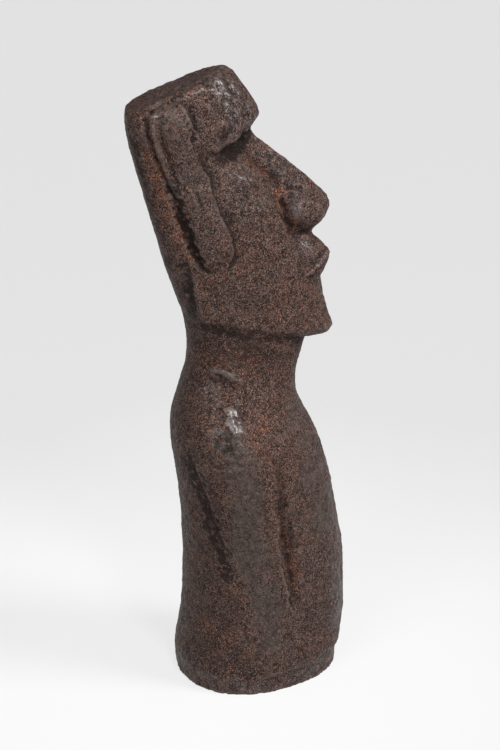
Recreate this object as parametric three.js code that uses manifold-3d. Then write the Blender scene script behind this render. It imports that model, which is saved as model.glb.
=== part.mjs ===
// A moai figure cast in one piece: a long head tipped back on a thick neck, over a torso whose arms
// lie along its sides in low relief. It faces -Y, +Z is up, and it stands on its flat underside.
// Sizes are in millimetres. The pose and the profiles are written in thousandths of the height.
import * as THREE from "three";
import { mergeVertices } from "three/addons/utils/BufferGeometryUtils.js";
import Module from "manifold-3d";

const wasm = await Module();
wasm.setup();

// Driving dimensions
const HEIGHT = 800;
const BASE_WIDTH = 226;
const SHOULDER_WIDTH = 232;
const NECK_WIDTH = 124;
const JAW_WIDTH = 134;
const CROWN_WIDTH = 156;
const NOSE_WIDTH = 62;
const MOUTH_WIDTH = 76;
const EYE_HOLLOW_WIDTH = 70;
const EAR_LIFT = 8;
const RIM_LIFT = 7;
const FRONT_FURROW = 12;
const BACK_FURROW = 6;
const COLLAR_LIFT = 4;

// How finely the forms are cut
const TORSO_COLUMNS = 48;
const HEAD_COLUMNS = 56;
const SMALL_COLUMNS = 20;
const STRAP_COLUMNS = 12;

// How far a strap's edges lie below the skin, and how far a furrow's cutter stands clear of it, as
// shares of the lift and of the depth
const SINK = 0.3;
const CLEAR = 0.4;

// A profile point, given in thousandths of the height as it is seen from the figure's side
const point = ([y, z]) => new THREE.Vector3(0, (y * HEIGHT) / 1000, (z * HEIGHT) / 1000);

// A closed skin over a stack of rings that have equal numbers of points, with a flat fan at each end
function skin(rings) {
  const columns = rings[0].length;
  const corners = rings.flat();
  const faces = [];
  const at = (ring, column) => ring * columns + (column % columns);
  for (let ring = 0; ring < rings.length - 1; ring++) {
    for (let column = 0; column < columns; column++) {
      const [a, b] = [at(ring, column), at(ring, column + 1)];
      const [c, d] = [at(ring + 1, column + 1), at(ring + 1, column)];
      faces.push(a, b, c, a, c, d);
    }
  }
  const middle = (ring) => {
    const sum = ring.reduce((total, corner) => total.add(corner), new THREE.Vector3());
    return corners.push(sum.divideScalar(columns)) - 1;
  };
  const low = middle(rings[0]);
  const high = middle(rings[rings.length - 1]);
  for (let column = 0; column < columns; column++) {
    faces.push(low, at(0, column + 1), at(0, column));
    faces.push(high, at(rings.length - 1, column), at(rings.length - 1, column + 1));
  }
  return new THREE.BufferGeometry().setFromPoints(corners).setIndex(faces);
}

// A closed three.js geometry as a solid that can be joined to others, facing outwards
function solid(geometry) {
  const bare = geometry.clone();
  bare.deleteAttribute("normal");
  bare.deleteAttribute("uv");
  const merged = mergeVertices(bare);
  const triVerts = new Uint32Array(merged.index.array);
  const make = () =>
    new wasm.Manifold(
      new wasm.Mesh({ numProp: 3, vertProperties: merged.attributes.position.array, triVerts }),
    );
  const made = make();
  if (made.volume() > 0) return made;
  for (let i = 0; i < triVerts.length; i += 3) {
    [triVerts[i + 1], triVerts[i + 2]] = [triVerts[i + 2], triVerts[i + 1]];
  }
  return make();
}

const mirrored = (geometry) => geometry.clone().scale(-1, 1, 1);

// One ring of a body form, between its front and its back point. It is widest at a share of the way
// back, and it droops towards its sides. A higher power makes it squarer.
function outline({ front, back, half, widest, frontPower, backPower, droop }, columns) {
  const corners = [];
  for (let column = 0; column < columns; column++) {
    const turn = (column / columns) * 2 * Math.PI;
    const [across, along] = [Math.sin(turn), Math.cos(turn)];
    const power = along > 0 ? frontPower : backPower;
    const x = half * Math.sign(across) * Math.abs(across) ** (2 / power);
    const reach = Math.abs(along) ** (2 / power);
    const share = along > 0 ? widest * (1 - reach) : widest + (1 - widest) * reach;
    const corner = front.clone().lerp(back, share);
    corner.x = x;
    corner.z -= droop * (x / half) ** 2;
    corners.push(corner);
  }
  return corners;
}

// A body form through its ribs, each a row of
// [front y, front z, back y, back z, half width as a share, widest, front power, back power, droop, steps].
// Between a rib and the next, the skin has that many steps along smooth curves.
function bodyForm(ribs, width, columns) {
  const curve = (pick) => new THREE.CatmullRomCurve3(ribs.map(pick), false, "centripetal");
  const fronts = curve((rib) => point([rib[0], rib[1]]));
  const backs = curve((rib) => point([rib[2], rib[3]]));
  const spans = curve((rib, i) => new THREE.Vector3(rib[4], rib[5], i));
  const bends = curve((rib, i) => new THREE.Vector3(rib[6], rib[7], i));
  const droops = curve((rib, i) => new THREE.Vector3(rib[8], 0, i));
  const rings = [];
  ribs.forEach((rib, i) => {
    const steps = i < ribs.length - 1 ? rib[9] : 1;
    for (let step = 0; step < steps; step++) {
      const t = (i + step / steps) / (ribs.length - 1);
      const [span, bend] = [spans.getPoint(t), bends.getPoint(t)];
      rings.push(
        outline(
          {
            front: fronts.getPoint(t),
            back: backs.getPoint(t),
            half: (span.x * width) / 2,
            widest: span.y,
            frontPower: bend.x,
            backPower: bend.y,
            droop: (droops.getPoint(t).x * HEIGHT) / 1000,
          },
          columns,
        ),
      );
    }
  });
  return skin(rings);
}

// The torso and neck: an egg-shaped foot, a round belly, a flatter back and sloping shoulders.
const waist = BASE_WIDTH / SHOULDER_WIDTH;
const neck = NECK_WIDTH / SHOULDER_WIDTH;
const TORSO = [
  [-134, 0, 132, 0, 0.985 * waist, 0.58, 1.7, 2.1, 0, 1],
  [-134, 28, 135, 28, waist, 0.58, 1.75, 2.1, 0, 1],
  [-142, 44, 134, 44, waist, 0.58, 1.9, 2.1, 0, 1],
  [-146, 90, 125, 90, 0.985 * waist, 0.58, 1.9, 2.2, 0, 2],
  [-147, 145, 121, 145, 0.97 * waist, 0.58, 1.95, 2.3, 0, 2],
  [-141, 220, 120, 220, 0.945, 0.58, 2, 2.4, 0, 3],
  [-129, 296, 124, 296, 0.965, 0.58, 2, 2.5, 0, 3],
  [-112, 369, 133, 369, 0.995, 0.58, 2, 2.5, 0, 2],
  [-97, 410, 138, 410, 0.985, 0.58, 2, 2.4, 0, 2],
  [-79, 446, 136, 446, 0.89, 0.58, 2, 2.3, 0, 2],
  [-66, 473, 128, 473, 0.74, 0.58, 2, 2.3, 0, 2],
  [-64, 503, 119, 503, 1.1 * neck, 0.58, 2, 2.4, 0, 2],
  [-70, 535, 111, 535, neck, 0.58, 2.1, 2.5, 0, 2],
  [-79, 568, 110, 568, neck, 0.58, 2.1, 2.6, 0, 2],
  [-80, 625, 119, 625, neck, 0.58, 2.1, 2.6, 0, 1],
];
const torso = bodyForm(TORSO, SHOULDER_WIDTH, TORSO_COLUMNS);

// The head: a jaw block whose face falls back to the eyes, and a forehead that overhangs them.
const jaw = JAW_WIDTH / CROWN_WIDTH;
const HEAD = [
  [-103, 572, 117, 615, 0.95 * jaw, 0.74, 2.2, 2.5, 0, 1],
  [-117, 576, 119, 619, 0.985 * jaw, 0.74, 2.2, 2.5, 0, 1],
  [-124, 587, 122, 626, jaw, 0.74, 2.2, 2.6, 0, 1],
  [-117, 602, 125, 634, jaw, 0.74, 2.2, 2.7, 0, 2],
  [-107, 636, 131, 652, jaw, 0.75, 2.2, 3, 0, 2],
  [-103, 663, 138, 672, 1.01 * jaw, 0.76, 2.2, 3.2, 0, 2],
  [-91, 700, 147, 700, 1.02 * jaw, 0.76, 2.2, 3.2, 0, 2],
  [-72, 735, 155, 732, 1.03 * jaw, 0.76, 2.3, 3.2, 0, 2],
  [-51, 772, 164, 764, 1.04 * jaw, 0.76, 2.4, 3.3, 4, 2],
  [-30, 812, 173, 798, 1.05 * jaw, 0.76, 2.4, 3.4, 9, 2],
  [-4, 848, 180, 828, 1.06 * jaw, 0.76, 2.4, 3.4, 16, 2],
  [26, 880, 187, 854, 1.07 * jaw, 0.76, 2.3, 3.4, 22, 1],
  [38, 896, 190, 868, 1.08 * jaw, 0.76, 2.2, 3.4, 23, 1],
  [7, 905, 193, 876, 0.96, 0.76, 2.1, 3.4, 22, 1],
  [-7, 926, 198, 894, 0.98, 0.76, 2.05, 3.4, 18, 1],
  [-3, 938, 200, 904, 0.99, 0.76, 2.05, 3.4, 15, 1],
  [14, 963, 203, 920, 0.99, 0.73, 2, 3.4, 9, 1],
  [33, 989, 202, 931, 0.94, 0.7, 2, 3.2, 3, 1],
  [43, 998, 197, 936, 0.84, 0.69, 2, 3, 1, 1],
  [54, 1000, 187, 939, 0.72, 0.68, 2, 2.8, 0, 1],
];
const block = bodyForm(HEAD, CROWN_WIDTH, HEAD_COLUMNS);

// An egg shape on the left of the middle plane. Its middle is seen at a profile point, its depth and
// height are in thousandths, and it is turned about an upright axis.
function egg(out, profile, width, depth, height, turn) {
  const size = point([depth / 2, height / 2]).setX(width / 2);
  const middle = point(profile).setX(-out);
  return new THREE.SphereGeometry(1, 16, 12).scale(...size).rotateZ(turn).translate(...middle);
}

// The eyes: a hollow on each side of the nose, deepest under the brow, that turns back to the ear.
const hollow = egg(0.62 * EYE_HOLLOW_WIDTH, [37, 885], EYE_HOLLOW_WIDTH, 34, 40, -0.62);

// The nose: a ridge that widens from under the brow to a round tip, with a lobe for each nostril.
const NOSE = [
  [16, 912, 76, 892, 0.5, 0.85, 2, 3, 0, 1],
  [4, 898, 68, 878, 0.5, 0.85, 2, 3, 0, 1],
  [-14, 879, 58, 856, 0.52, 0.85, 2, 3, 0, 2],
  [-46, 854, 36, 826, 0.6, 0.85, 2, 3, 0, 2],
  [-80, 828, 16, 798, 0.72, 0.85, 2, 3, 0, 1],
  [-101, 809, 4, 778, 0.82, 0.85, 2.1, 3, 0, 1],
  [-113, 796, -4, 762, 0.88, 0.85, 2.2, 3, 0, 1],
  [-117, 783, -10, 750, 0.93, 0.85, 2.3, 3, 0, 1],
  [-114, 770, -16, 742, 0.94, 0.85, 2.3, 3, 0, 1],
  [-107, 757, -22, 736, 0.9, 0.85, 2.3, 3, 0, 1],
  [-95, 745, -28, 730, 0.78, 0.85, 2.2, 3, 0, 1],
  [-86, 738, -32, 727, 0.64, 0.85, 2.1, 3, 0, 1],
];
const nose = bodyForm(NOSE, NOSE_WIDTH, SMALL_COLUMNS);
const nostril = egg(0.27 * NOSE_WIDTH, [-74, 772], 0.56 * NOSE_WIDTH, 68, 56, 0);

// The mouth: an upper lip that slopes out from under the nose, then back to the line of the mouth.
const MOUTH = [
  [-76, 744, -35, 744, 0.8, 0.8, 2, 3, 2, 1],
  [-92, 732, -35, 732, 0.9, 0.8, 2, 3, 4, 1],
  [-109, 718, -35, 718, 0.98, 0.8, 2.1, 3, 6, 1],
  [-119, 705, -35, 705, 1, 0.8, 2.2, 3, 8, 1],
  [-116, 692, -35, 692, 0.97, 0.8, 2.5, 3, 9, 1],
  [-108, 679, -35, 679, 0.95, 0.8, 2.9, 3, 10, 1],
  [-102, 671, -35, 671, 0.93, 0.8, 3.2, 3, 10, 1],
];
const mouth = bodyForm(MOUTH, MOUTH_WIDTH, SMALL_COLUMNS);

// A profile point a share of the way from one to another
const between = (from, to, share) => from.map((value, axis) => value + (to[axis] - value) * share);

// The place on the left of a form's skin that is seen at a profile point from the side
function seat(form, profile) {
  const from = point(profile).setX(-HEIGHT);
  const mesh = new THREE.Mesh(form, new THREE.MeshBasicMaterial());
  const [hit] = new THREE.Raycaster(from, new THREE.Vector3(1, 0, 0)).intersectObject(mesh);
  if (!hit) throw new Error(`no skin at ${profile}`);
  return hit.point;
}

// A raised strap that follows the left of a form's skin, through stations of
// [back edge, front edge, share of its lift]. Its edges are let into the skin.
function strap(form, stations, lift, power) {
  const sink = SINK * lift;
  const rounded = (value) => Math.sign(value) * Math.abs(value) ** (2 / power);
  const rings = stations.map(([back, front, share]) => {
    const corners = [];
    for (let column = 0; column < STRAP_COLUMNS; column++) {
      const turn = (column / STRAP_COLUMNS) * 2 * Math.PI;
      const rise = rounded(Math.sin(turn));
      const corner = seat(form, between(back, front, (1 + rounded(Math.cos(turn))) / 2));
      corner.x -= rise > 0 ? rise * (lift * share + sink) - sink : rise * lift - sink;
      corners.push(corner);
    }
    return corners;
  });
  return skin(rings);
}

// A furrow to cut from the left of a form's skin, through stations of
// [edge, far side, share of its depth]. It is deepest at its edge and runs out at its far side.
function furrow(form, stations, depth) {
  const clear = CLEAR * depth;
  const rings = stations.map(([edge, far, share]) => {
    const outer = [0, 0.5, 1].map((across) => [across, 2 * clear]);
    const floor = (across) => clear * across - depth * share * (1 - across) ** 1.4;
    const inner = [1, 0.75, 0.5, 0.25, 0.06].map((across) => [across, floor(across)]);
    return [...outer, ...inner].map(([across, lift]) => {
      const corner = seat(form, between(edge, far, across));
      corner.x -= lift;
      return corner;
    });
  });
  return skin(rings);
}

// The ears: a rim along the back edge, and a long slab that ends in a round lobe.
const EAR_SLAB = [
  [[140, 952], [116, 960], 0.2],
  [[150, 940], [103, 954], 0.8],
  [[152, 922], [97, 938], 1],
  [[146, 897], [98, 912], 0.95],
  [[137, 869], [94, 883], 0.75],
  [[128, 840], [81, 856], 0.75],
  [[119, 810], [68, 826], 0.9],
  [[110, 778], [54, 795], 1],
  [[103, 748], [42, 766], 1.1],
  [[98, 729], [36, 746], 1.1],
  [[92, 714], [38, 729], 1],
  [[84, 704], [47, 714], 0.8],
  [[76, 698], [57, 702], 0.2],
];
const EAR_RIM = [
  [[161, 950], [150, 953], 0.2],
  [[167, 939], [151, 943], 0.9],
  [[165, 918], [149, 923], 1],
  [[158, 886], [142, 891], 1],
  [[149, 855], [133, 860], 0.95],
  [[139, 826], [124, 830], 0.9],
  [[128, 798], [114, 802], 0.8],
  [[117, 768], [106, 771], 0.5],
  [[110, 748], [101, 751], 0.1],
];
const slab = strap(block, EAR_SLAB, EAR_LIFT, 3.2);
const rim = strap(block, EAR_RIM, RIM_LIFT, 2.4);

// The arms: flush with the shoulders and set off by a furrow along their front and their back edge.
const ARM_FRONT = [
  [[-31, 398], [-54, 398], -0.4],
  [[-29, 372], [-60, 372], 0.3],
  [[-29, 332], [-66, 332], 0.5],
  [[-30, 295], [-70, 295], 0.75],
  [[-34, 262], [-75, 262], 1],
  [[-41, 220], [-80, 220], 1],
  [[-48, 182], [-84, 182], 0.7],
  [[-53, 150], [-84, 150], 0.3],
  [[-56, 128], [-82, 128], -0.4],
];
const ARM_BACK = [
  [[107, 436], [124, 432], -0.4],
  [[101, 415], [120, 410], 0.3],
  [[93, 388], [115, 382], 0.8],
  [[79, 342], [104, 334], 1],
  [[61, 291], [88, 283], 1],
  [[43, 235], [70, 227], 0.9],
  [[31, 197], [57, 190], 0.5],
  [[23, 168], [45, 162], -0.4],
];
const armFront = furrow(torso, ARM_FRONT, FRONT_FURROW);
const armBack = furrow(torso, ARM_BACK, BACK_FURROW);

// The collar: a low ridge on each side where the neck meets the shoulder.
const COLLAR = [
  [[90, 556], [74, 568], -0.2],
  [[84, 540], [58, 562], 0.6],
  [[64, 524], [36, 549], 1],
  [[38, 508], [16, 530], 1],
  [[18, 494], [4, 510], 0.5],
  [[8, 484], [0, 494], -0.2],
];
const collar = strap(torso, COLLAR, COLLAR_LIFT, 2.2);

// Everything is one casting, stood on its underside in the middle of its own outline.
const carve = (form, cuts) =>
  cuts.flatMap((cut) => [cut, mirrored(cut)]).reduce((left, cut) => left.subtract(solid(cut)), solid(form));
const raised = [nose, mouth];
for (const form of [nostril, slab, rim, collar]) raised.push(form, mirrored(form));
const casting = raised.reduce(
  (whole, form) => whole.add(solid(form)),
  carve(block, [hollow]).add(carve(torso, [armFront, armBack])),
);
const cast = casting.getMesh();
const geometry = new THREE.BufferGeometry()
  .setAttribute("position", new THREE.BufferAttribute(cast.vertProperties, cast.numProp))
  .setIndex(new THREE.BufferAttribute(cast.triVerts, 1));
geometry.computeBoundingBox();
const { min, max } = geometry.boundingBox;
geometry.translate(0, -(min.y + max.y) / 2, -min.z);
geometry.computeVertexNormals();

const stone = new THREE.MeshStandardMaterial({ color: 0x53443f, roughness: 0.62, metalness: 0 });
const figure = new THREE.Mesh(geometry, stone);
figure.name = "moai_figure";

const group = new THREE.Group();
group.add(figure);
export default group;
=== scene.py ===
# A moai figure cast in one piece of dark brown stone, on a pale studio floor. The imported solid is
# copied, given a fine skin, worked over with hand tools and roughened, and stands in for the solid.
import math
from types import SimpleNamespace

import bpy
import numpy as np
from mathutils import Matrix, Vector


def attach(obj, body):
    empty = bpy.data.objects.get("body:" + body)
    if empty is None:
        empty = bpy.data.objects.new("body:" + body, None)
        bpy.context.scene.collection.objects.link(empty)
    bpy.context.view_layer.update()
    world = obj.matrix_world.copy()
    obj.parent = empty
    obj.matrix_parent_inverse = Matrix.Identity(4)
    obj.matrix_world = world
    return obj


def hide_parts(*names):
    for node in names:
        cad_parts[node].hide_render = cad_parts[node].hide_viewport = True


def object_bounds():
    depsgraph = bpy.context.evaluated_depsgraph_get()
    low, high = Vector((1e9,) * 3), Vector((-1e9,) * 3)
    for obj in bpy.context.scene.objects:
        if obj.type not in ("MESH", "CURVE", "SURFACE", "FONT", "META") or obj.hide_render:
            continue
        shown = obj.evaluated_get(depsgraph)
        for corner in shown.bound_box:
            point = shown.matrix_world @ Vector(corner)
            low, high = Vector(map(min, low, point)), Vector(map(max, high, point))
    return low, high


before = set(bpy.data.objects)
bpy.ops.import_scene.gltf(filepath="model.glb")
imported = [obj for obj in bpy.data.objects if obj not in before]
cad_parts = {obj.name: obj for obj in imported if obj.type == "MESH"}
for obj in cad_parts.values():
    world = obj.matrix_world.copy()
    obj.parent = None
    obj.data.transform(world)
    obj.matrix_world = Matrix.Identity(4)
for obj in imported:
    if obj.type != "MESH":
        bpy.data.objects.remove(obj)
cad_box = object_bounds()

# Places on the figure are written as seen from its side: how far back and how high, in thousandths
# of its height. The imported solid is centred, so the places are moved back to its middle. How wide
# and how deep a mark is, is written in millimetres.
HEIGHT = cad_box[1].z
MIDDLE = 28
MM = 0.001

# The skin: the size of its cells, how far up its underside is pressed flat, and how many triangles
# are left of it in the end
CELL = 2.55 * MM
FLAT_UNDER = 1.2 * MM
TRIANGLES = 196_000

# The photo's camera: where it stands, how far round from the front, how far it looks down, its lens
CAMERA_PLACE = (-2.4163, 0.1112, 1.18)
CAMERA_TURN = math.radians(-93)
CAMERA_DROP = math.radians(17.86)
CAMERA_LENS = 94.66

FLOOR_SIZE = 60
BACKDROP_RADIUS = 29


# Helpers


def smoothstep(low, high, values):
    share = np.clip((values - low) / (high - low), 0, 1)
    return share * share * (3 - 2 * share)


def bare_selection():
    if bpy.context.mode != "OBJECT":
        bpy.ops.object.mode_set(mode="OBJECT")
    bpy.ops.object.select_all(action="DESELECT")


def pick_up(piece):
    bare_selection()
    piece.select_set(True)
    bpy.context.view_layer.objects.active = piece


def finish_modifier(piece, kind, **settings):
    pick_up(piece)
    modifier = piece.modifiers.new(kind.title(), kind)
    for name, value in settings.items():
        setattr(modifier, name, value)
    bpy.ops.object.modifier_apply(modifier=modifier.name)


def copy_of_solid(node, name):
    """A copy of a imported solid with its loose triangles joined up."""
    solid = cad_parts[node]
    piece = bpy.data.objects.new(name, solid.data.copy())
    bpy.context.scene.collection.objects.link(piece)
    pick_up(piece)
    bpy.ops.object.mode_set(mode="EDIT")
    bpy.ops.mesh.select_all(action="SELECT")
    bpy.ops.mesh.remove_doubles(threshold=0.00001)
    bpy.ops.object.mode_set(mode="OBJECT")
    piece.data.materials.clear()
    return piece


def keep_on_points(mesh, name, values):
    """Keeps a value for each point of a mesh, for a material to read."""
    layer = mesh.attributes.new(name, "FLOAT", "POINT")
    layer.data.foreach_set("value", values.astype(np.float32))


# The hand tools


class Skin:
    """The skin of the figure under the hand tools. Every mark is made on both of its sides."""

    def __init__(self, piece):
        mesh = piece.data
        self.mesh = mesh
        count = len(mesh.vertices)
        self.points = np.empty(count * 3)
        mesh.vertices.foreach_get("co", self.points)
        self.points = self.points.reshape(-1, 3)
        self.normals = np.empty(count * 3)
        mesh.vertex_normals.foreach_get("vector", self.normals)
        self.ends = np.empty(len(mesh.edges) * 2, dtype=np.int32)
        mesh.edges.foreach_get("vertices", self.ends)
        self.ends = self.ends.reshape(-1, 2)
        self.normals = self.averaged(self.normals.reshape(-1, 3), 6)
        self.normals /= np.linalg.norm(self.normals, axis=1)[:, None]
        # How far each place faces sideways, and if it is on the side that the photo doesn't show
        self.side = smoothstep(0.1, 0.4, np.abs(self.normals[:, 0]))
        self.other_side = self.points[:, 0] > 0
        # Both sides laid on each other: how far back, how high and how far out from the middle
        self.folded = self.points[:, [1, 2, 0]]
        self.folded[:, 2] = np.abs(self.folded[:, 2])
        # An unsteady hand
        self.wander = self.uneven(60, 1) * 0.9 * MM + self.uneven(190, 2) * 0.5 * MM

    def uneven(self, pitch, seed):
        """A slow random swell over the skin, with a number of waves to a metre."""
        draw = np.random.default_rng(seed)
        total = np.zeros(len(self.points))
        for _ in range(9):
            heading = draw.normal(size=3)
            heading *= pitch * draw.uniform(0.6, 1.5) / np.linalg.norm(heading)
            total += np.sin(self.points @ heading * 2 * math.pi + draw.uniform(0, 2 * math.pi))
        return total / 3

    def averaged(self, values, rounds):
        """Values spread over the skin to their neighbours, again and again."""
        count = len(self.points)
        first, second = self.ends[:, 0], self.ends[:, 1]
        neighbours = np.bincount(first, minlength=count) + np.bincount(second, minlength=count)
        for _ in range(rounds):
            columns = []
            for column in np.atleast_2d(values.T):
                total = np.bincount(first, column[second], minlength=count)
                total += np.bincount(second, column[first], minlength=count)
                columns.append(0.5 * column + 0.5 * total / np.maximum(neighbours, 1))
            values = np.array(columns).T
        return values[:, 0] if values.shape[1] == 1 else values

    def along(self, path):
        """How far each place lies from a path, on which hand of it, and how far along it.

        A stop of a path is how far back and how high it is, and may have a third number, how far
        out from the middle plane in millimetres. Without it, the path is as seen from the side.
        """
        size = len(path[0])
        stops = (np.array(path, dtype=float) - (MIDDLE, 0, 0)[:size])
        stops *= (HEIGHT / 1000, HEIGHT / 1000, MM)[:size]
        skin = self.folded[:, :size]
        legs = np.diff(stops, axis=0)
        lengths = np.linalg.norm(legs, axis=1)
        starts = np.concatenate([[0], np.cumsum(lengths)])
        nearest = np.full(len(skin), np.inf)
        hand = np.zeros(len(skin))
        share = np.zeros(len(skin))
        for start, leg, length, before in zip(stops, legs, lengths, starts):
            off = skin - start
            reach = np.clip(off @ leg / length**2, 0, 1)
            gap = off - reach[:, None] * leg
            apart = np.linalg.norm(gap, axis=1)
            closer = apart < nearest
            nearest[closer] = apart[closer]
            hand[closer] = (leg[0] * off[closer, 1] - leg[1] * off[closer, 0]) / length
            share[closer] = ((before + reach * length) / starts[-1])[closer]
        return nearest, hand, share

    def taper(self, share, ends):
        """Lets a mark fade in over a first share of its path, and out over a last one."""
        first, last = ends
        rise = smoothstep(0, first, share) if first else 1
        fall = smoothstep(0, last, 1 - share) if last else 1
        return rise * fall

    def soften(self):
        """Loses the facets of the solid, and keeps its edges and its foot."""
        slight = self.averaged(self.points, 3)
        strong = self.averaged(self.points, 16)
        moved = np.abs(((strong - self.points) * self.normals).sum(1)) / MM
        broad = 1 - smoothstep(0.35, 1.1, self.averaged(moved[:, None], 4))
        above_foot = smoothstep(1.5 * MM, 6 * MM, self.points[:, 2])[:, None]
        softer = slight + (strong - slight) * broad[:, None]
        self.points += (softer - self.points) * above_foot

    def drag(self, path, width, lift, ends=(0.2, 0.2), across=0.0, other=1.0):
        """A round tool drawn along a path: it heaps the skin up, or cuts it with a lift below 0.

        It can also run across the front of the figure, and press less on the other side.
        """
        near, _, share = self.along(path)
        near = np.maximum(near + self.wander, 0)
        push = lift * MM * np.exp(-((near / (width * MM)) ** 2)) * self.taper(share, ends)
        push *= np.maximum(self.side, across) * np.where(self.other_side, other, 1)
        self.points += self.normals * push[:, None]

    def undercut(self, path, width, depth, ends=(0.2, 0.2)):
        """A flat tool held against the right hand of a path: a steep wall and a long run out."""
        near, hand, share = self.along(path)
        hand = -hand + self.wander
        profile = np.where(hand > 0, np.exp(-hand / (width * MM)), np.exp(hand / (0.7 * MM)))
        profile *= np.exp(-np.maximum(near - np.abs(hand), 0) / (3 * MM))
        push = -depth * MM * profile * self.taper(share, ends)
        self.points += self.normals * (push * self.side)[:, None]

    def dab(self, places, width, lift):
        """A thumb pressed into the skin at single places, or clay dabbed on them."""
        for place in places:
            spot = (np.array(place, dtype=float) - (MIDDLE, 0)) * HEIGHT / 1000
            near = np.linalg.norm(self.folded[:, :2] - spot, axis=1) + self.wander
            push = lift * MM * np.exp(-((near / (width * MM)) ** 2))
            self.points += self.normals * (push * self.side)[:, None]

    def pull(self, path, width, back, up):
        """Draws the skin along a path backwards and upwards, by signed amounts."""
        near, _, share = self.along(path)
        pinch = np.exp(-((near / (width * MM)) ** 2)) * self.taper(share, (0.3, 0.3))
        self.points += pinch[:, None] * np.array((0, back * MM, up * MM))

    def relax(self, path, width, rounds=40):
        """Smooths the skin with a wet thumb along a path."""
        near, _, _ = self.along(path)
        wet = np.exp(-((near / (width * MM)) ** 4))
        self.points += (self.averaged(self.points, rounds) - self.points) * wet[:, None]

    def paint(self, name, strokes, over_edges=0.3):
        """Keeps a mask on the skin, as strokes of a wide brush: a path, its width and strength.

        Skin that faces forwards, backwards or up takes only a share of it.
        """
        mask = np.zeros(len(self.points))
        for path, width, strength in strokes:
            near, _, _ = self.along(path)
            near = near + 4 * self.wander
            mask = np.maximum(mask, strength * np.exp(-((near / (width * MM)) ** 2)))
        mask *= np.maximum(self.side, over_edges)
        keep_on_points(self.mesh, name, mask)
        return mask

    def put_back(self):
        self.mesh.vertices.foreach_set("co", self.points.reshape(-1))
        self.mesh.update()


# The carving


def carve_crown(skin):
    """A rolled edge, a ledge and a ridge of clay over the ear, and the notch of a tool."""
    skin.drag([(186, 940), (169, 947), (150, 957), (133, 963)], 3.5, -1.6)
    skin.drag([(137, 961), (121, 969), (106, 976), (95, 981), (85, 984), (74, 987)], 2.6, -2.8)
    skin.drag([(120, 961), (104, 969), (91, 974), (78, 978)], 5, 2.2)
    skin.drag([(71, 986), (64, 981), (56, 969)], 2.4, -3.8)


def carve_forehead(skin):
    """Sweeps of a tool that run down with the front edge, and fainter ones on the other side."""
    skin.drag([(56, 993), (47, 983), (38, 969), (26, 952), (15, 935)], 2.4, -1.9, other=0.3)
    skin.drag([(46, 982), (38, 968), (31, 960), (22, 952)], 2.2, -2, other=0.2)
    skin.drag([(64, 990), (52, 975), (40, 957), (30, 940)], 3, 1.3, other=0.4)
    skin.drag([(38, 946), (33, 934), (27, 922), (18, 912)], 3, 1.3, other=0.4)
    skin.drag([(26, 962), (17, 948), (12, 932), (8, 918)], 2.2, -1.7, other=0.3)
    skin.drag([(78, 966), (64, 948), (54, 926)], 4, -1.2, other=0.4)
    skin.dab([(35, 936), (76, 944), (50, 902)], 2.6, -1.9)


def carve_ear(skin):
    """The knob at its top, the thin rim at its back, the slab and the lobe."""
    knob = [(168, 941), (159, 950), (144, 957), (129, 961), (114, 958), (103, 950), (97, 934)]
    knob += [(95, 917), (100, 903), (105, 892)]
    skin.drag(knob, 3, -4, (0.05, 0.1))
    skin.dab([(133, 940), (119, 922), (131, 905)], 15, 2.2)
    for top, foot in zip((150, 143, 136, 129, 122), (153, 145, 137, 128, 120)):
        skin.drag([(top, 958), (foot, 946)], 1.8, -1.4, (0, 0.5))

    back_line = [(171, 942), (170, 919), (164, 901), (153, 871), (144, 846), (137, 825)]
    back_line += [(130, 808), (123, 784), (114, 758), (104, 731), (98, 715), (87, 700)]
    back_line += [(74, 693), (58, 689)]
    skin.drag(back_line, 2.5, -3.2, (0.04, 0.1))
    hollow = [(141, 856), (133, 827), (124, 804), (116, 780), (109, 755), (101, 735), (92, 717)]
    skin.drag(hollow + [(77, 707)], 6, -5, (0.3, 0.15))
    inner_line = [(147, 926), (145, 905), (140, 889), (134, 872), (128, 850), (118, 822)]
    skin.drag(inner_line, 3.2, -1.7)

    front_line = [(99, 897), (92, 880), (83, 858), (73, 843), (68, 824), (63, 806), (57, 787)]
    front_line += [(47, 767), (39, 747), (35, 729), (38, 713), (46, 700), (57, 692)]
    skin.undercut(front_line, 6, 4.2, (0.1, 0.1))
    skin.drag([(97, 827), (92, 812), (87, 793)], 2, -1.7)
    skin.drag([(113, 800), (106, 782), (98, 764)], 2.4, -1.3)
    skin.dab([(66, 722)], 14, 1)
    skin.dab([(143, 893), (101, 886)], 4, -1.4)


def carve_brow(skin):
    """The overhang of the brow, the pocket of the eye under it and the cheek bone."""
    skin.relax([(20, 884), (32, 872), (44, 864)], 12)
    edge = [(22, 908, 40), (36, 902, 49), (48, 896, 54), (60, 889, 58), (74, 882, 61)]
    skin.pull(edge, 11, 0, -13)
    skin.pull([(36, 900, 49), (44, 896, 53), (52, 892, 56), (62, 888, 59)], 9, 0, -6)
    skin.relax([(26, 922), (42, 912), (56, 902), (70, 890)], 9, 14)
    skin.undercut([(12, 909), (30, 892), (43, 883), (54, 877), (63, 872)], 9, 7, (0, 0.4))
    skin.drag([(10, 888), (20, 878), (32, 870), (46, 865)], 9, -3.5)
    skin.relax([(74, 872), (84, 874), (96, 876)], 10)
    skin.relax([(60, 876), (66, 872), (74, 870)], 6, 14)
    skin.relax([(4, 886), (14, 876), (26, 868), (36, 864)], 8, 20)
    skin.dab([(46, 866)], 3, -1.5)
    skin.drag([(66, 860), (56, 852), (43, 841), (27, 834), (10, 829), (-8, 818)], 7, 1.8)


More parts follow.
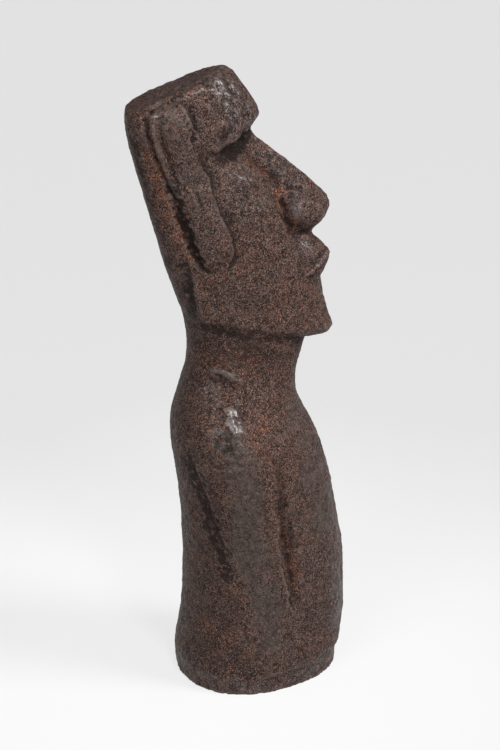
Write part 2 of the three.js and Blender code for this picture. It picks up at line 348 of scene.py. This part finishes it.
def carve_nose(skin):
    """The crease beside it, the crease round its wing and the nick over the wing."""
    side_line = [(31, 881), (22, 870), (11, 858), (-2, 847), (-14, 839), (-23, 831), (-33, 817)]
    skin.drag(side_line + [(-39, 804)], 4.5, -3.6, (0.1, 0.2), across=0.5)
    skin.drag([(-38, 808), (-40, 793), (-43, 777), (-48, 762), (-55, 749), (-63, 743)], 3.4, -3.6)
    skin.drag([(-40, 810), (-52, 812), (-64, 811), (-74, 808)], 2.3, -2.1)
    skin.relax([(-43, 777), (-48, 762), (-55, 749), (-63, 743)], 5, 5)
    skin.dab([(-62, 779)], 11, 2.6)
    skin.dab([(-53, 802)], 3, -1.6)


def carve_mouth(skin):
    """A thin raised line that runs down from the tip of the lip, cut free below."""
    lip_line = [(-115, 709), (-108, 702), (-98, 692), (-89, 683), (-82, 679), (-73, 677)]
    below = [(y - 1, z - 4) for y, z in lip_line]
    skin.undercut(below, 6, 3.6, (0, 0.25))
    skin.drag(lip_line, 2.2, 3.4, (0, 0.1), across=0.35)
    skin.drag([(-70, 690), (-84, 692), (-94, 701), (-104, 711)], 3.2, -1.4)
    skin.drag([(-53, 745), (-61, 722), (-68, 705), (-71, 689)], 5, -1.2)


def carve_jaw(skin):
    """Marks of a tool on the cheek, the back edge of the jaw and the pits behind it."""
    skin.drag([(-4, 776), (-6, 763), (-6, 748)], 2, -1.7)
    skin.dab([(-45, 675), (-19, 754), (-29, 695)], 2.6, -1.5)
    skin.drag([(98, 697), (97, 672), (94, 651), (91, 630), (84, 613)], 4, 1.7)
    skin.dab([(109, 708), (111, 691), (104, 671), (103, 651), (107, 662)], 3.4, -1.7)
    skin.dab([(40, 684)], 3, 1.3)


def carve_shoulder(skin):
    """The collar ridge, and the bone of the shoulder with the dip under it."""
    skin.drag([(78, 526), (68, 533), (58, 532), (45, 526), (31, 518), (20, 510)], 3.4, 2.6)
    skin.drag([(108, 556), (89, 554), (73, 544)], 5, 1)
    skin.drag([(50, 484), (43, 464), (37, 446), (33, 437)], 7, 2.6)
    skin.dab([(44, 424), (62, 430)], 6, -1.6)


def carve_arm(skin):
    """A thin ridge down its back edge and a steep wall down its front edge."""
    back_edge = [(107, 428), (101, 402), (93, 372), (80, 336), (68, 299), (57, 263), (49, 231)]
    back_edge += [(36, 203)]
    skin.undercut(back_edge[::-1], 12, 2.6)
    skin.drag(back_edge, 2.4, 2.8)
    skin.drag([(-36, 412), (-36, 370), (-34, 334), (-33, 292)], 9, -4.5)
    skin.undercut([(-31, 290), (-33, 249), (-38, 220), (-45, 191), (-52, 156), (-56, 127)], 9, 5)
    skin.dab([(-51, 281), (-49, 291)], 3.4, -2.6)


def carve_foot(skin):
    """A low band round its front, and burrs."""
    skin.drag([(2, 22), (-28, 34), (-60, 37), (-88, 35), (-112, 30)], 4, 1.4)
    skin.dab([(-114, 18), (-102, 46), (-131, 119), (-125, 60), (127, 35)], 3, 1.6)


CARVING = (
    carve_crown,
    carve_forehead,
    carve_ear,
    carve_brow,
    carve_nose,
    carve_mouth,
    carve_jaw,
    carve_shoulder,
    carve_arm,
    carve_foot,
)


# Where the surface differs, and where shade is painted, as brush strokes: a path, its width and
# its strength. A strength of more than 1 keeps a stroke full over more of its width.

RUBBED = [
    # The knob, slab and lobe of the ear
    ([(134, 945), (122, 925), (131, 905)], 17, 0.65),
    ([(112, 850), (96, 800), (76, 735)], 17, 0.45),
    # The arm, the belly, the chest and the back
    ([(36, 410), (24, 340), (17, 290), (4, 220), (-8, 160), (-18, 90)], 28, 0.95),
    ([(-72, 405), (-92, 340), (-104, 280)], 20, 0.6),
    ([(-55, 460), (-66, 425)], 16, 0.5),
    ([(95, 310), (92, 220), (110, 150)], 14, 0.4),
    # The cheek bone
    ([(45, 842), (15, 828), (-10, 800)], 14, 0.35),
    # Polished: the bone of the shoulder, the nose's wing, the collar ridge and the crown's corner
    ([(45, 470), (40, 454), (35, 436)], 8, 1.6),
    ([(-57, 790), (-60, 778)], 4, 1.25),
    ([(72, 530), (58, 531), (40, 524)], 4, 1.2),
    ([(62, 985), (50, 978)], 5, 1.3),
]

WORKED = [
    # The forehead, the edge of the crown and the ear
    ([(70, 980), (42, 958), (24, 930)], 20, 1.0),
    ([(160, 950), (110, 970)], 10, 0.8),
    ([(120, 930), (110, 850)], 14, 0.5),
    # The cheek, the nose and the lip
    ([(20, 835), (10, 800), (0, 760)], 26, 0.6),
    ([(-15, 850), (-50, 822), (-76, 800)], 10, 0.5),
    ([(-70, 720), (-90, 700)], 12, 0.6),
    # The shoulder, the back edge of the arm, the belly and the foot
    ([(80, 500), (60, 450), (45, 415)], 26, 0.6),
    ([(108, 420), (86, 350), (66, 280)], 16, 0.3),
    ([(-120, 380), (-140, 250), (-130, 100)], 18, 0.8),
    ([(130, 200), (130, 30), (0, 8), (-120, 20)], 14, 0.6),
]

RUST = [
    # The ledge over the ear, the groove behind it and the creases of the nose
    ([(186, 938), (160, 950), (120, 966), (86, 980)], 9, 1.0),
    ([(166, 885), (152, 840), (137, 795), (118, 740), (106, 705)], 9, 1.0),
    ([(10, 857), (-14, 838), (-36, 808), (-44, 775), (-52, 752)], 7, 0.8),
    # The neck, the shoulder, low before the arm, the foot, the jaw, and high before the arm
    ([(75, 550), (40, 555), (0, 545)], 30, 0.45),
    ([(75, 460), (50, 430), (15, 420), (-10, 450)], 30, 0.55),
    ([(-46, 275), (-56, 210), (-66, 150)], 12, 0.45),
    ([(85, 120), (40, 70), (-20, 55)], 26, 0.4),
    ([(20, 700), (-30, 660), (-60, 620)], 30, 0.35),
    ([(-20, 360), (-25, 300)], 12, 0.4),
]

# Painted shade: dark paint where shade falls, in hollows and recesses, behind and under overhangs,
# and round the neck
PAINTED_SHADE = [
    # Behind the jaw, down the nape, and under the bone of the shoulder
    ([(110, 706), (105, 660), (101, 620)], 9, 1.0),
    ([(192, 900), (180, 830), (160, 750), (145, 690)], 12, 0.8),
    ([(48, 424), (68, 428)], 12, 0.8),
    # Behind the arm, and round the neck
    ([(114, 400), (97, 350), (82, 300), (67, 250), (52, 205)], 7, 1.0),
    ([(80, 570), (30, 560), (-20, 550)], 34, 0.6),
    # The pocket of the eye
    ([(6, 900), (22, 885), (36, 876), (50, 870)], 10, 1.4),
    # The hollow at the back of the ear, the front of its knob, and its front edge
    ([(136, 838), (124, 804), (115, 778), (108, 755), (100, 733), (88, 714)], 6, 1.2),
    ([(98, 950), (95, 925), (101, 902)], 4, 1.0),
    ([(89, 878), (70, 843), (60, 806), (44, 767), (32, 729), (43, 700)], 4.5, 0.75),
    # Under the lip, round the wing of the nose, and a dip in the brow
    ([(-73, 674), (-84, 675), (-94, 682)], 3, 0.8),
    ([(-41, 790), (-45, 770), (-54, 748), (-64, 741)], 4, 0.9),
    ([(55, 904), (46, 913)], 8, 0.8),
    # Under the jaw, before the arm, and the throat
    ([(80, 600), (30, 590), (-30, 580)], 8, 0.8),
    ([(-48, 290), (-52, 250)], 8, 0.7),
    ([(2, 560), (-30, 540), (-50, 520)], 18, 0.4),
]

# The roughness of the cast, coarse to fine: its texture, and the size and height of its lumps
ROUGHNESS = (
    ("lumps", "CLOUDS", 46, 3.2, ""),
    ("ripples", "CLOUDS", 15, 1.5, ""),
    ("crust", "CLOUDS", 8.5, 3.2, "crust"),
    ("grain", "STUCCI", 5.5, 0.9, ""),
)


def roughen(piece, crust):
    """Lumps, ripples and coarse grain over the whole skin, and a crust where it was worked."""
    group = piece.vertex_groups.new(name="crust")
    for index, share in enumerate(crust):
        group.add([index], share, "REPLACE")
    for name, kind, size, height, where in ROUGHNESS:
        texture = bpy.data.textures.new(name, kind)
        texture.noise_scale = size * MM
        if kind == "CLOUDS":
            texture.noise_depth = 2
        finish_modifier(
            piece,
            "DISPLACE",
            texture=texture,
            texture_coords="LOCAL",
            strength=height * MM,
            mid_level=0.5,
            vertex_group=where,
        )


def note_hollows(piece):
    """Keeps how deep each place lies, in millimetres, under the skin near it and farther round."""
    skin = Skin(piece)
    for name, rounds in (("near_hollow", 5), ("broad_hollow", 60)):
        away = skin.averaged(skin.points, rounds) - skin.points
        keep_on_points(piece.data, name, (away * skin.normals).sum(1) / MM)


def thin_out(piece, triangles):
    """Joins up faces where the skin is flattest, down to a number of triangles."""
    piece.data.calc_loop_triangles()
    share = triangles / len(piece.data.loop_triangles)
    finish_modifier(piece, "DECIMATE", ratio=share)


def stand_in_box(piece, box):
    """Sets the skin on the floor and fits it to the solid's own box."""
    mesh = piece.data
    points = np.empty(len(mesh.vertices) * 3)
    mesh.vertices.foreach_get("co", points)
    points = points.reshape(-1, 3)
    low, high = np.array(box[0]), np.array(box[1])
    points[:, 2] = np.where(points[:, 2] < FLAT_UNDER, 0, points[:, 2])
    own_low, own_high = points.min(0), points.max(0)
    points = low + (points - own_low) * (high - low) / (own_high - own_low)
    mesh.vertices.foreach_set("co", points.reshape(-1))
    mesh.update()


def make_figure():
    piece = copy_of_solid("moai_figure", "Moai_Figure")
    finish_modifier(piece, "REMESH", mode="VOXEL", voxel_size=CELL, adaptivity=0.0)
    skin = Skin(piece)
    skin.soften()
    skin.put_back()
    skin = Skin(piece)
    for carve in CARVING:
        carve(skin)
    skin.paint("rubbed", RUBBED)
    crust = skin.paint("worked", WORKED, 0.6)
    skin.paint("rust", RUST)
    # A mask of painted shade, for the material to darken
    skin.paint("soot", PAINTED_SHADE)
    skin.put_back()
    roughen(piece, crust)
    note_hollows(piece)
    thin_out(piece, TRIANGLES)
    stand_in_box(piece, cad_box)
    pick_up(piece)
    bpy.ops.object.shade_smooth()
    return piece


# Materials


class Socket:
    """A shader value or its output, with arithmetic that adds Math nodes."""

    def __init__(self, shop, output):
        self.shop = shop
        self.output = output

    def _math(self, operation, *values):
        return self.shop.node("ShaderNodeMath", {"operation": operation}, *values)

    def __add__(self, other):
        return self._math("ADD", self, other)

    __radd__ = __add__

    def __mul__(self, other):
        return self._math("MULTIPLY", self, other)

    __rmul__ = __mul__

    def __sub__(self, other):
        return self._math("SUBTRACT", self, other)

    def __rsub__(self, other):
        return self._math("SUBTRACT", other, self)

    def between(self, low, high):
        """0 below a low value, 1 above a high one, and smooth in between."""
        return self.shop.node(
            "ShaderNodeMapRange",
            {"interpolation_type": "SMOOTHSTEP"},
            **{"Value": self, "From Min": low, "From Max": high},
        )


class Shop:
    """The nodes of one material, or of the air round the studio."""

    def __init__(self, owner):
        owner.use_nodes = True
        self.owner = owner
        self.tree = owner.node_tree
        self.shader = self.tree.nodes.get("Principled BSDF") or self.tree.nodes["Background"]

    def feed(self, socket, value):
        if isinstance(value, Socket):
            self.tree.links.new(value.output, socket)
        else:
            socket.default_value = value

    def node(self, kind, settings=None, *values, out=0, **inputs):
        node = self.tree.nodes.new(kind)
        for name, value in (settings or {}).items():
            setattr(node, name, value)
        for socket, value in zip(node.inputs, values):
            self.feed(socket, value)
        for name, value in inputs.items():
            self.feed(node.inputs[name], value)
        return Socket(self, node.outputs[out])

    def mix(self, share, first, second):
        """A first colour, and a second one over a share of it."""
        node = self.tree.nodes.new("ShaderNodeMix")
        node.data_type = "RGBA"
        for socket, value in ((0, share), (6, first), (7, second)):
            self.feed(node.inputs[socket], value)
        return Socket(self, node.outputs[2])

    def noise(self, place, scale, detail=2.0, roughness=0.5, distortion=0.0):
        return self.node(
            "ShaderNodeTexNoise",
            None,
            **{
                "Vector": place,
                "Scale": scale,
                "Detail": detail,
                "Roughness": roughness,
                "Distortion": distortion,
            },
        )

    def painted(self, name):
        return self.node("ShaderNodeAttribute", {"attribute_name": name}, out=2)


def stone_marks(shop):
    """What the cast is made of, from patches to grain, where it is worn, worked or rusty, and where
    shade is painted into hollows, recesses and creases.
    """
    place = shop.node("ShaderNodeTexCoord", None, out=3)
    combed = shop.node(
        "ShaderNodeMapping",
        {"vector_type": "TEXTURE"},
        **{"Vector": place, "Rotation": (0.92, 0, 0), "Scale": (1, 2.6, 1)},
    )
    near, broad = shop.painted("near_hollow"), shop.painted("broad_hollow")
    rubbed, worked = shop.painted("rubbed"), shop.painted("worked")
    marks = SimpleNamespace(
        patches=shop.noise(place, 13, 3),
        clods=shop.noise(place, 120, 3, 0.55, 0.8),
        ropes=shop.noise(combed, 150, 3, 0.6, 1.2),
        strokes=shop.noise(place, 430, 2, 0.6, 0.9),
        grain=shop.noise(place, 800, 1, 0.5),
        specks=shop.noise(place, 480, 2, 0.5),
        bites=shop.noise(place, 260, 2, 0.6, 1.6),
        smudges=shop.noise(place, 52, 3, 0.6, 1.2),
        # Painted shade in creases
        crease_shade=near.between(0.05, 0.6),
        proud=(0 - near).between(0.06, 0.5),
        polish=rubbed.between(0.95, 1.3),
    )
    clouds = shop.noise(place, 34, 4, 0.6)
    sunk = broad.between(0.3, 3.5)
    marks.worked = (worked + (clouds - 0.5) * 1.6).between(0.2, 0.9)
    marks.rubbed = (rubbed * 0.8 + (clouds - 0.5) * 1.6).between(0.15, 0.8)
    marks.rusty = (shop.painted("rust") + (clouds - 0.5) * 1.5 + sunk * 0.3).between(0.2, 0.8)
    # Painted shade where its strokes lie, broken up by the clods
    marks.sooty = (shop.painted("soot") + (marks.clods - 0.5) * 1.2).between(0.35, 0.9)
    rope_edge = marks.ropes.between(0.44, 0.49) * (1 - marks.ropes.between(0.5, 0.55))
    marks.cracks = rope_edge * (marks.worked * 0.7 + 0.3)
    uneven_grain = marks.strokes * 0.5 + marks.grain * 0.5 + (marks.clods - 0.5) * 0.3
    marks.crumbs = uneven_grain.between(0.41, 0.57)
    return marks


def stone_colour(shop, marks):
    """Brown crumbs with dark gaps, pale painted glints and orange flecks, greyer where rubbed, and
    painted shade in hollows and creases.
    """
    gap = (0.009, 0.0055, 0.0045, 1)
    brown = (0.078, 0.0475, 0.0385, 1)
    ruddy = (0.105, 0.046, 0.031, 1)
    grey = (0.068, 0.057, 0.051, 1)
    dark_grey = (0.02, 0.014, 0.012, 1)
    orange = (0.34, 0.105, 0.044, 1)
    pale = (0.27, 0.205, 0.185, 1)

    tone = shop.mix(marks.patches.between(0.4, 0.62) * 0.4, brown, ruddy)
    tone = shop.mix(marks.rusty * 0.6, tone, ruddy)
    tone = shop.mix(marks.worked * 0.24, tone, pale)

    glints = (marks.strokes * 0.4 + marks.grain * 0.6).between(0.56, 0.66)
    flecks = (marks.specks + marks.rusty * 0.07).between(0.65, 0.71)
    pits = (marks.bites + marks.worked * 0.08).between(0.62, 0.67)
    rough = shop.mix(marks.crumbs, gap, tone)
    rough = shop.mix(glints * 0.5, rough, pale)
    rough = shop.mix(flecks * 0.75, rough, orange)
    rough = shop.mix(pits * 0.85, rough, gap)

    smooth = shop.mix(marks.crumbs * 0.35 + 0.45, dark_grey, grey)
    ground = shop.mix(marks.rubbed * 0.65, rough, smooth)
    smudged = marks.smudges.between(0.5, 0.66) * (0.35 + marks.worked * 0.3)
    ground = shop.mix(smudged, ground, gap)
    ground = shop.mix(marks.cracks * 0.85, ground, gap)
    # Painted shade: dark paint in the listed hollows and recesses and under overhangs
    ground = shop.mix(marks.sooty * 0.88, ground, gap)
    # Painted shade in creases, deeper where the skin lies lower than round it
    ground = shop.mix(marks.crease_shade * 0.65, ground, gap)
    return shop.mix(marks.proud * 0.1, ground, pale)


def stone_relief(shop, marks):
    """Clods and ropes of the worked places, and a grain that is fainter where it is rubbed."""
    crust = marks.clods * 1.1 + marks.ropes * 1.3 - marks.cracks * 0.7
    height = marks.clods * 0.5 + crust * marks.worked
    height = height + (marks.strokes * 1.1 + marks.grain * 0.5) * (1 - marks.rubbed * 0.7)
    return shop.node(
        "ShaderNodeBump", None, **{"Strength": 1.0, "Distance": 0.0018, "Height": height}
    )


def cast_stone():
    shop = Shop(bpy.data.materials.new("Cast_Brown_Stone"))
    marks = stone_marks(shop)
    gloss = marks.proud * 0.15 + marks.worked * 0.3 + marks.polish * 0.7
    shader = shop.shader.inputs
    shop.feed(shader["Base Color"], stone_colour(shop, marks))
    shop.feed(shader["Roughness"], 0.62 - marks.crumbs * 0.18)
    shop.feed(shader["Coat Weight"], gloss)
    shop.feed(shader["Normal"], stone_relief(shop, marks))
    shader["Specular IOR Level"].default_value = 0.1
    shader["Coat Roughness"].default_value = 0.28
    return shop.owner


# The studio


def studio_floor():
    """A pale floor that glows a little, so that its shadows stay faint, most round the figure."""
    shop = Shop(bpy.data.materials.new("Studio_Floor"))
    place = shop.node("ShaderNodeTexCoord", None, out=3)
    away = shop.node("ShaderNodeVectorMath", {"operation": "DISTANCE"}, place, (0, 0.08, 0), out=1)
    glow = shop.mix(away.between(0.15, 1.2), (0.72, 0.72, 0.72, 1), (0.57, 0.57, 0.57, 1))
    shop.feed(shop.shader.inputs["Emission Color"], glow)
    shop.shader.inputs["Emission Strength"].default_value = 1.0
    shop.shader.inputs["Base Color"].default_value = (0.15, 0.15, 0.15, 1)
    shop.shader.inputs["Specular IOR Level"].default_value = 0.0
    bare_selection()
    bpy.ops.mesh.primitive_plane_add(size=FLOOR_SIZE)
    floor = bpy.context.object
    floor.name = "Studio_Floor"
    floor.data.materials.append(shop.owner)


def studio_backdrop():
    """A pale backdrop behind everything, that only the camera sees and that lights nothing."""
    shop = Shop(bpy.data.materials.new("Studio_Backdrop"))
    shop.shader.inputs["Base Color"].default_value = (0, 0, 0, 1)
    shop.shader.inputs["Specular IOR Level"].default_value = 0.0
    shop.shader.inputs["Emission Color"].default_value = (0.785, 0.785, 0.785, 1)
    shop.shader.inputs["Emission Strength"].default_value = 1.0
    bare_selection()
    bpy.ops.mesh.primitive_uv_sphere_add(segments=64, ring_count=32, radius=BACKDROP_RADIUS)
    backdrop = bpy.context.object
    backdrop.name = "Studio_Backdrop"
    backdrop.visible_diffuse = False
    backdrop.visible_glossy = False
    backdrop.visible_shadow = False
    backdrop.data.materials.append(shop.owner)


def add_to_scene(name, data):
    thing = bpy.data.objects.new(name, data)
    bpy.context.scene.collection.objects.link(thing)
    return thing


def turned_towards(direction):
    return Vector(direction).to_track_quat("-Z", "Y").to_euler()


def soft_light(name, place, aim, size, power):
    """A round soft box that stands at a place and shines on another."""
    data = bpy.data.lights.new(name, "AREA")
    data.shape = "DISK"
    data.size = size
    data.energy = power
    lamp = add_to_scene(name, data)
    lamp.location = place
    lamp.rotation_euler = turned_towards(Vector(aim) - Vector(place))


def wide_lamp(name, shines, power, spread):
    """A large far lamp, as a sun with a wide disc."""
    data = bpy.data.lights.new(name, "SUN")
    data.energy = power
    data.angle = math.radians(spread)
    add_to_scene(name, data).rotation_euler = turned_towards(shines)


def studio_light():
    """Pale air, brighter overhead, a wide lamp before the figure and one behind it, and a key."""
    air = Shop(bpy.data.worlds.new("Studio_Air"))
    heading = air.node("ShaderNodeTexCoord", None, out=0)
    split = air.tree.nodes.new("ShaderNodeSeparateXYZ")
    air.feed(split.inputs[0], heading)
    ahead, up = Socket(air, split.outputs[1]), Socket(air, split.outputs[2])
    air.feed(air.shader.inputs["Strength"], 0.15 + up * 0.18 - ahead * 0.07)
    air.shader.inputs["Color"].default_value = (1, 1, 1, 1)
    bpy.context.scene.world = air.owner
    wide_lamp("Front_Lamp", (0.35, 0.95, -0.85), 3.5, 24)
    wide_lamp("Back_Lamp", (0.9, -0.55, -0.75), 1.5, 30)
    soft_light("Key_Light", (-1.22, -0.3, 1.78), (0, 0, 0.55), 0.3, 22)


def photo_camera():
    data = bpy.data.cameras.new("Photo_Camera")
    data.lens = CAMERA_LENS
    data.sensor_fit = "AUTO"
    data.sensor_width = 36
    data.clip_end = 200
    camera = add_to_scene("Photo_Camera", data)
    ahead = (
        -math.sin(CAMERA_TURN) * math.cos(CAMERA_DROP),
        math.cos(CAMERA_TURN) * math.cos(CAMERA_DROP),
        -math.sin(CAMERA_DROP),
    )
    camera.location = CAMERA_PLACE
    camera.rotation_euler = turned_towards(ahead)
    bpy.context.scene.camera = camera


photo_camera()
studio_light()
studio_floor()
studio_backdrop()

figure = make_figure()
figure.data.materials.append(cast_stone())
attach(figure, "root")
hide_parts("moai_figure")

bpy.context.scene.view_settings.view_transform = "Standard"
